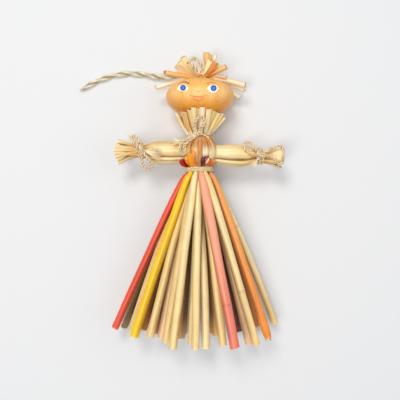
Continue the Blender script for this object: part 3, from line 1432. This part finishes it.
# a bow's strands: pixels of the photograph, and the height above the table
bows = {
    "neck": {
        "knot": (196.8, 133.9, 29.6),
        "loops": (
            ((196.4, 132.8, 29.8), (194.8, 129.0, 30.8), (195.0, 124.0, 32.6), (196.6, 119.2, 34.3), (200.2, 116.6, 35.1),
             (204.0, 118.8, 34.7), (203.9, 123.6, 33.1), (201.2, 128.2, 31.4), (198.0, 132.4, 30.0)),
            ((196.4, 133.9, 29.6), (190.6, 136.4, 29.8), (184.6, 139.8, 29.6), (180.7, 144.3, 29.0), (179.9, 149.6, 28.4),
             (181.6, 154.2, 27.8), (184.9, 154.0, 28.0), (185.4, 150.0, 28.6), (183.9, 146.3, 29.2), (186.8, 142.6, 29.8),
             (192.0, 138.9, 30.0), (196.8, 135.4, 29.8)),
        ),
        "ends": (
            ((196.0, 134.4, 29.8), (189.6, 137.6, 29.2), (183.6, 140.6, 28.6), (178.6, 141.8, 28.0)),
        ),
        "threads": (
            ((197.6, 134.6, 29.6), (202.0, 134.3, 29.4), (205.8, 135.6, 29.2), (209.4, 139.4, 28.8), (211.8, 144.0, 28.8),
             (213.5, 149.0, 28.6), (214.0, 153.4, 27.8)),
        ),
        "brushes": (((179.4, 141.8, 28.2), (172.2, 141.4, 27.4), 0.36),),
    },
    "left": {
        "knot": (142.2, 149.8, 26.6),
        "loops": (
            ((142.0, 149.2, 26.8), (138.4, 145.4, 27.4), (134.3, 140.9, 27.4), (131.4, 137.3, 26.8), (133.0, 135.6, 26.4),
             (136.5, 137.5, 27.0), (140.0, 141.6, 27.6), (141.9, 145.6, 27.4), (142.6, 149.0, 26.8)),
            ((141.8, 150.4, 26.8), (141.2, 155.0, 26.4), (142.2, 160.4, 24.4), (143.4, 165.6, 22.4), (146.4, 169.3, 21.2),
             (150.2, 167.2, 21.8), (150.6, 163.2, 23.6), (148.0, 159.0, 25.6), (144.8, 154.8, 26.8), (142.8, 150.6, 26.8)),
        ),
        "ends": (
            ((141.6, 149.4, 26.4), (136.8, 146.4, 26.9), (132.8, 141.8, 26.9), (129.8, 136.8, 26.2)),
            ((143.2, 150.2, 26.8), (147.4, 150.8, 27.3), (151.6, 152.0, 27.4)),
        ),
        "threads": (
            ((143.0, 151.4, 26.6), (147.0, 156.6, 26.2), (151.2, 160.4, 24.6), (154.9, 163.4, 23.0)),
        ),
        "brushes": (((147.0, 150.8, 28.2), (161.6, 150.4, 28.6), 0.20), ((147.6, 152.4, 28.0), (162.0, 156.6, 28.0), 0.20)),
    },
    "right": {
        "knot": (260.0, 155.6, 26.8),
        "loops": (
            ((259.6, 154.8, 27.0), (257.2, 150.6, 27.8), (253.6, 145.7, 27.8), (249.6, 142.7, 27.2), (245.6, 142.9, 26.9),
             (243.7, 145.4, 27.2), (244.8, 149.0, 27.6), (248.2, 152.0, 27.6), (253.2, 153.9, 27.4), (259.2, 155.4, 27.0)),
            ((260.6, 155.0, 27.0), (266.2, 151.2, 27.2), (272.2, 148.3, 27.0), (278.6, 145.3, 26.4), (282.3, 147.5, 26.3),
             (283.4, 153.0, 26.6), (282.2, 159.4, 26.4), (279.0, 164.6, 24.9), (276.0, 162.0, 25.8), (273.2, 157.6, 26.8),
             (268.4, 155.5, 27.0), (261.0, 155.8, 27.0)),
        ),
        "ends": (
            ((259.6, 156.4, 26.8), (257.2, 159.6, 26.0), (255.0, 162.4, 24.9)),
        ),
        "threads": (),
        "brushes": (((256.4, 160.6, 25.8), (252.6, 166.4, 24.0), 0.36),),
    },
}
# an end combed out flat: fibres from a root to a fan
brush = {"fibres": 36, "radius": 0.26, "thin": 0.4, "bundle": 0.45}


def wrapTurns(radius, first, last, climb, place, sag=0.0):
    middle, axis, front, side = place
    count = round((last - first) / math.tau * wraps["turnPoints"])
    found = []
    for k in range(count + 1):
        angle = first + (last - first) * k / count
        along = climb * (angle - (first + last) / 2) / math.tau - sag * (1 - math.cos(angle)) / 2
        found.append(middle + axis * along + (front * math.cos(angle) + side * math.sin(angle)) * radius)
    return found


def fromPixels(points):
    return [fromPixel(*point) for point in points]


def addBrush(shell, name, root, tip, spread):
    chance = random.Random(name)
    root, tip = fromPixel(*root), fromPixel(*tip)
    way = tip - root
    across = Vector((0, 0, 1)).cross(way)
    base = fromScreen(*twine["brushTint"])
    for k in range(brush["fibres"]):
        lean = chance.uniform(-1, 1)
        start = root + across.normalized() * (lean * brush["bundle"]) - way * 0.1
        goal = way * chance.uniform(0.75, 1.05) + across * (lean * spread)
        goal.z += chance.uniform(-0.3, 0.5)
        radius = brush["radius"] * chance.uniform(brush["thin"], 1)
        addFibre(shell, chance, start, goal.normalized(), goal.length, radius, base, stray=0.12)


def addBow(shell, name, bow):
    for number, points in enumerate(bow["loops"] + bow["ends"]):
        addPlies(shell, f"{name}Strand{number}", fromPixels(points), twine, twine["tint"])
    for number, points in enumerate(bow["threads"]):
        addPlies(shell, f"{name}Thread{number}", fromPixels(points), thread, twine["threadTint"])
    for number, (root, tip, spread) in enumerate(bow["brushes"]):
        addBrush(shell, f"{name}Brush{number}", root, tip, spread)
    for number, points in enumerate(bow["ends"] + bow["threads"]):
        last, before = fromPixel(*points[-1]), fromPixel(*points[-2])
        addFray(shell, f"{name}Fray{number}", last, (last - before).normalized(), twine["fray"], twine["tint"])
    axis = Vector((0.8, 0.6, 0))
    place = (fromPixel(*bow["knot"]), axis, Vector((0, 0, 1)), axis.cross(Vector((0, 0, 1))))
    turn = math.tau * wraps["knotTurns"]
    knot = wrapTurns(wraps["knotRadius"], -turn / 2, turn / 2, 1.1, place)
    addPlies(shell, name + "Knot", knot, twine, twine["tint"])


def makeTies():
    up, front, right = Vector((0, 1, 0)), Vector((0, 0, 1)), Vector((1, 0, 0))
    look = wraps["waist"]
    shell = Shell()
    place = (Vector((waist["shift"], look["drop"], axisHeight)), up, front, right)
    around = math.tau * look["turns"]
    turns = wrapTurns(look["radius"], -math.pi, around - math.pi, look["pitch"], place)
    addPlies(shell, "waistTie", turns, thread, twine["threadTint"])
    shell.toPiece("waistTie", sisalTwine, "torso", ["waist_tie"], 70)
    look = wraps["neck"]
    shell = Shell()
    place = (Vector((neck["shift"], neck["height"] + look["lift"], axisHeight)), up, front, right)
    turns = wrapTurns(look["radius"], -0.2, math.tau * look["turns"] + 0.2, look["pitch"], place, look["sag"])
    addPlies(shell, "neckTie", turns, thread, twine["threadTint"])
    addBow(shell, "neckBow", bows["neck"])
    shell.toPiece("neckTie", sisalTwine, "torso", ["neck_tie"], 70)
    look = wraps["wrist"]
    for side, sign in (("left", -1), ("right", 1)):
        shell = Shell()
        place = (Vector((sign * arms["wrist"] / 2, 0, 0)), right, front, up)
        turns = wrapTurns(look["radius"], -0.3, math.tau * look["turns"] + 0.3, look["pitch"], place)
        name = "wristTie" + side.capitalize()
        addPlies(shell, name, [fromArms(p) for p in turns], twine, twine["tint"])
        addBow(shell, name + "Bow", bows[side])
        shell.toPiece(name, sisalTwine, "arms", ["wrist_tie_" + side], 70)


makeTies()
print("ties wound")


# Hair: a tuft out of the head's bore, and a loop of twine among it
hair = {
    "ring": 3.3,
    "slots": 13,
    "top": 53.785,
    "bend": 1.8,
    "over": (0.25, 0.5, 0.75),  # parts of the way out at which a drooping straw is kept off the head
    "clear": 0.4,
    "lift": 0.5,
    "rootWidth": 1.6,
    "cut": 0.75,  # slant of a cut end, as a part of the thickness
    "loopScale": 1.35,
    "loop": (  # pixels and heights, as for the bows
        (199.6, 77.0, 23.4), (199.4, 73.2, 24.8), (196.8, 69.4, 26.4), (193.2, 65.4, 27.4), (191.0, 61.8, 27.4),
        (192.0, 59.2, 27.2), (195.0, 58.6, 27.2), (198.0, 60.4, 27.6), (200.6, 63.6, 27.6), (202.2, 67.2, 27.0),
        (201.6, 71.6, 25.4), (200.6, 77.0, 23.4),
    ),
    "knotPlace": (199.4, 75.6, 24.6),
    "knotRadius": 0.9,
    "knotTurns": 1.7,
}
# name, node, slot, tip's pixel in the photograph, its height, width, thickness, rise at the root, droops, colours
hairStraws = [
    ("DroopRightUpper", "droop_right_1", 0, (245.2, 85.2), 16.8, 3.4, 3.0, 0.35, True, "cream", "bone"),
    ("DroopRightMiddle", None, 12.5, (244.4, 90.6), 13.5, 2.5, 2.4, 0.3, True, "cream", "bone"),
    ("DroopRightLower", "droop_right_2", 12, (239.4, 97.6), 8.3, 2.6, 2.4, 0.5, True, "pale", "bone"),
    ("RightPink", None, 0.6, (226.8, 77.4), 21.0, 2.2, 1.9, 0.4, False, "apricot", "pink"),
    ("Right", "right", 1, (226.2, 66.8), 24.0, 3.4, 3.0, 0.5, False, "burnt", "apricot"),
    ("RightThin", None, 1.6, (219.8, 64.8), 23.0, 1.5, 1.3, 0.8, False, "tan", "cream"),
    ("TopWhite", None, 11.6, (216.0, 54.8), 19.0, 2.0, 1.7, 1, False, "pale", "bone"),
    ("Top", "top", 11, (206.4, 52.8), 17.3, 4.2, 1.7, 1, False, "tan", "apricot"),
    ("TopSecond", None, 10.6, (210.2, 55.2), 16.0, 3.2, 1.6, 1, False, "ginger", "apricot"),
    ("TopLeftUpper", "top_left_2", 9, (182.8, 57.0), 20.0, 4.0, 1.8, 1, False, "pale", "cream"),
    ("TopLeftTan", None, 8.5, (179.4, 61.6), 19.0, 3.2, 1.6, 0.9, False, "apricot", "cream"),
    ("TopLeftLow", None, 7.4, (176.0, 66.0), 20.0, 3.0, 1.8, 0.6, False, "apricot", "pink"),
    ("TopMiddle", None, 9.6, (187.6, 62.6), 22.0, 2.6, 1.5, 1, False, "pale", "cream"),
    ("DroopLeft", "droop_left", 8, (155.9, 87.6), 16.3, 3.0, 2.6, 0.4, True, "cream", "bone"),
    ("Left", "left", 6, (164.6, 72.6), 25.4, 3.0, 2.8, 0.1, False, "ginger", "apricot"),
]
# slit straws: name, node, slot, tip's pixel, height, width, depth (below 0 shows the inside), colours
hairSplits = [
    ("TopLeftFan", "top_left_1", 7, (177.4, 69.4), 22.8, 4.6, 0.8, "apricot", "pink", "tan"),
    ("TopRightSplit", "top_right", 2, (215.0, 61.6), 26.4, 5.2, -0.9, "burnt", "burnt", "pale"),
    ("TopRightFlank", None, 3, (210.4, 60.2), 25.6, 3.0, 0.4, "pale", "cream", "tan"),
]


def clearOfHead(place, gap):
    inside = 1 - (place.x ** 2 + (place.z - axisHeight) ** 2) / head["radius"] ** 2
    if inside > 0:
        place.y = max(place.y, head["centre"] + head["crown"] * math.sqrt(inside) + gap)
    return place


def hairCourse(slot, tip, rise, droops, thick):
    degrees = slot * 360 / hair["slots"]
    mouth = roundBody(hair["ring"], degrees, hair["top"] + 0.3)
    foot = roundBody(hair["ring"], degrees, head["centre"] - 4)
    out = outOfBody(tip).normalized()
    bend = mouth + (out + Vector((0, rise, 0))) * hair["bend"]
    course = [foot, mouth, bend]
    if droops:
        for part in hair["over"]:
            over = bend.lerp(tip, part) + Vector((0, hair["lift"] * math.sin(math.pi * part), 0))
            course.append(clearOfHead(over, thick / 2 + hair["clear"]))
    return course + [tip]


def makeHair():
    for label, node, slot, pixel, height, width, thick, rise, droops, root, end in hairStraws:
        course = hairCourse(slot, fromPixel(*pixel, height), rise, droops, thick)
        widths = [hair["rootWidth"], hair["rootWidth"], width * 0.62] + [width] * (len(course) - 3)
        rows = []
        for place, wide in zip(course, widths):
            part = wide / width
            deep = max(hair["rootWidth"], thick * part)
            rows.append((place, wide, deep, tone[end] if part > 0.9 else tone[root]))
        strawPiece(
            "hairStraw" + label,
            rows,
            plainStraw,
            "torso",
            ["hair_straw_" + node] if node else (),
            bores=(0.0, 4.0),
            cuts=(0.3, thick * hair["cut"]),
            slope=math.pi,
        )
    for label, node, slot, pixel, height, width, depth, root, end, back in hairSplits:
        course = hairCourse(slot, fromPixel(*pixel, height), 0.7, False, depth)
        rows = []
        for place, part in zip(course, (0.3, 0.35, 0.5, 1.0)):
            rows.append((place, width * part, depth * part, tone[end] if part == 1.0 else tone[root], tone[back]))
        splitPiece("hairSplit" + label, rows, plainStraw, "torso", ["hair_straw_" + node] if node else ())
    makeHairLoop()


def makeHairLoop():
    shell = Shell()
    thick = {**twine, **{part: twine[part] * hair["loopScale"] for part in ("plyRadius", "layRadius", "pitch")}}
    addPlies(shell, "hairLoop", fromPixels(hair["loop"]), thick, twine["tint"])
    shell.toPiece("hairLoop", sisalTwine, "torso", ["hair_loop"], 70)
    place = (fromPixel(*hair["knotPlace"]), Vector((0, 1, 0)), Vector((0, 0, 1)), Vector((1, 0, 0)))
    knot = wrapTurns(hair["knotRadius"], 0, math.tau * hair["knotTurns"], 1.2, place)
    shell = Shell()
    addPlies(shell, "hairKnot", knot, twine, tone["ginger"])
    shell.toPiece("hairKnot", sisalTwine, "torso", sharp=70)


makeHair()
print("hair set")


# Floor, lamps and world
studio = {
    "floorSize": 4.0,  # metres
    "floorTint": (0.80, 0.81, 0.83),
    "sky": (0.93, 0.96, 1.0),
    "skyLevel": 0.34,
    "backdrop": (0.70, 0.71, 0.73),
}
# lamps: place in metres, power, width, length, colour
lamps = {
    "keyLamp": ((-0.20, 0.48, 0.97), 4.5, 0.32, 0.32, (1.0, 0.97, 0.92)),
    "stripLamp": ((-0.20, -0.15, 1.0), 4.3, 0.16, 0.7, (1.0, 0.98, 0.95)),
    "fillLamp": ((0.75, 0.1, 0.75), 1.7, 0.9, 0.9, (1.0, 1.0, 1.0)),
}


def addLamp(name, place, power, wide, long, colour):
    lamp = bpy.data.lights.new(name, "AREA")
    lamp.shape = "RECTANGLE"
    lamp.energy = power
    lamp.size = wide
    lamp.size_y = long
    lamp.color = colour
    holder = bpy.data.objects.new(name, lamp)
    holder.location = place
    holder.rotation_euler = (-Vector(place)).to_track_quat("-Z", "Y").to_euler()
    bpy.context.scene.collection.objects.link(holder)


def addFloor():
    half = studio["floorSize"] / 2
    mesh = bpy.data.meshes.new("floor")
    mesh.from_pydata([(-half, -half, 0), (half, -half, 0), (half, half, 0), (-half, half, 0)], [], [(0, 1, 2, 3)])
    material = bpy.data.materials.new("paleFloor")
    material.use_nodes = True
    shader = material.node_tree.nodes["Principled BSDF"]
    shader.inputs["Base Color"].default_value = (*studio["floorTint"], 1)
    shader.inputs["Roughness"].default_value = 0.9
    shader.inputs["Specular IOR Level"].default_value = 0.1
    mesh.materials.append(material)
    floor = bpy.data.objects.new("floor", mesh)
    bpy.context.scene.collection.objects.link(floor)


def addWorld():
    world = bpy.data.worlds.new("studio")
    bpy.context.scene.world = world
    world.use_nodes = True
    tree = world.node_tree
    tree.nodes.clear()
    light = addNode(tree, "ShaderNodeBackground", None, {"Color": (*studio["sky"], 1), "Strength": studio["skyLevel"]})
    seen = addNode(tree, "ShaderNodeBackground", None, {"Color": (*studio["backdrop"], 1), "Strength": 1.0})
    rays = addNode(tree, "ShaderNodeLightPath").outputs
    show = mathNode(tree, "MAXIMUM", rays["Is Camera Ray"], rays["Is Transmission Ray"])
    show = mathNode(tree, "MAXIMUM", show, rays["Is Glossy Ray"])
    mixed = addNode(tree, "ShaderNodeMixShader", None, {0: show, 1: light.outputs[0], 2: seen.outputs[0]})
    output = addNode(tree, "ShaderNodeOutputWorld")
    tree.links.new(mixed.outputs[0], output.inputs["Surface"])


addFloor()
addWorld()
for name, setting in lamps.items():
    addLamp(name, *setting)
bpy.context.scene.view_settings.view_transform = "Standard"
print("studio lit")

print("size file written")
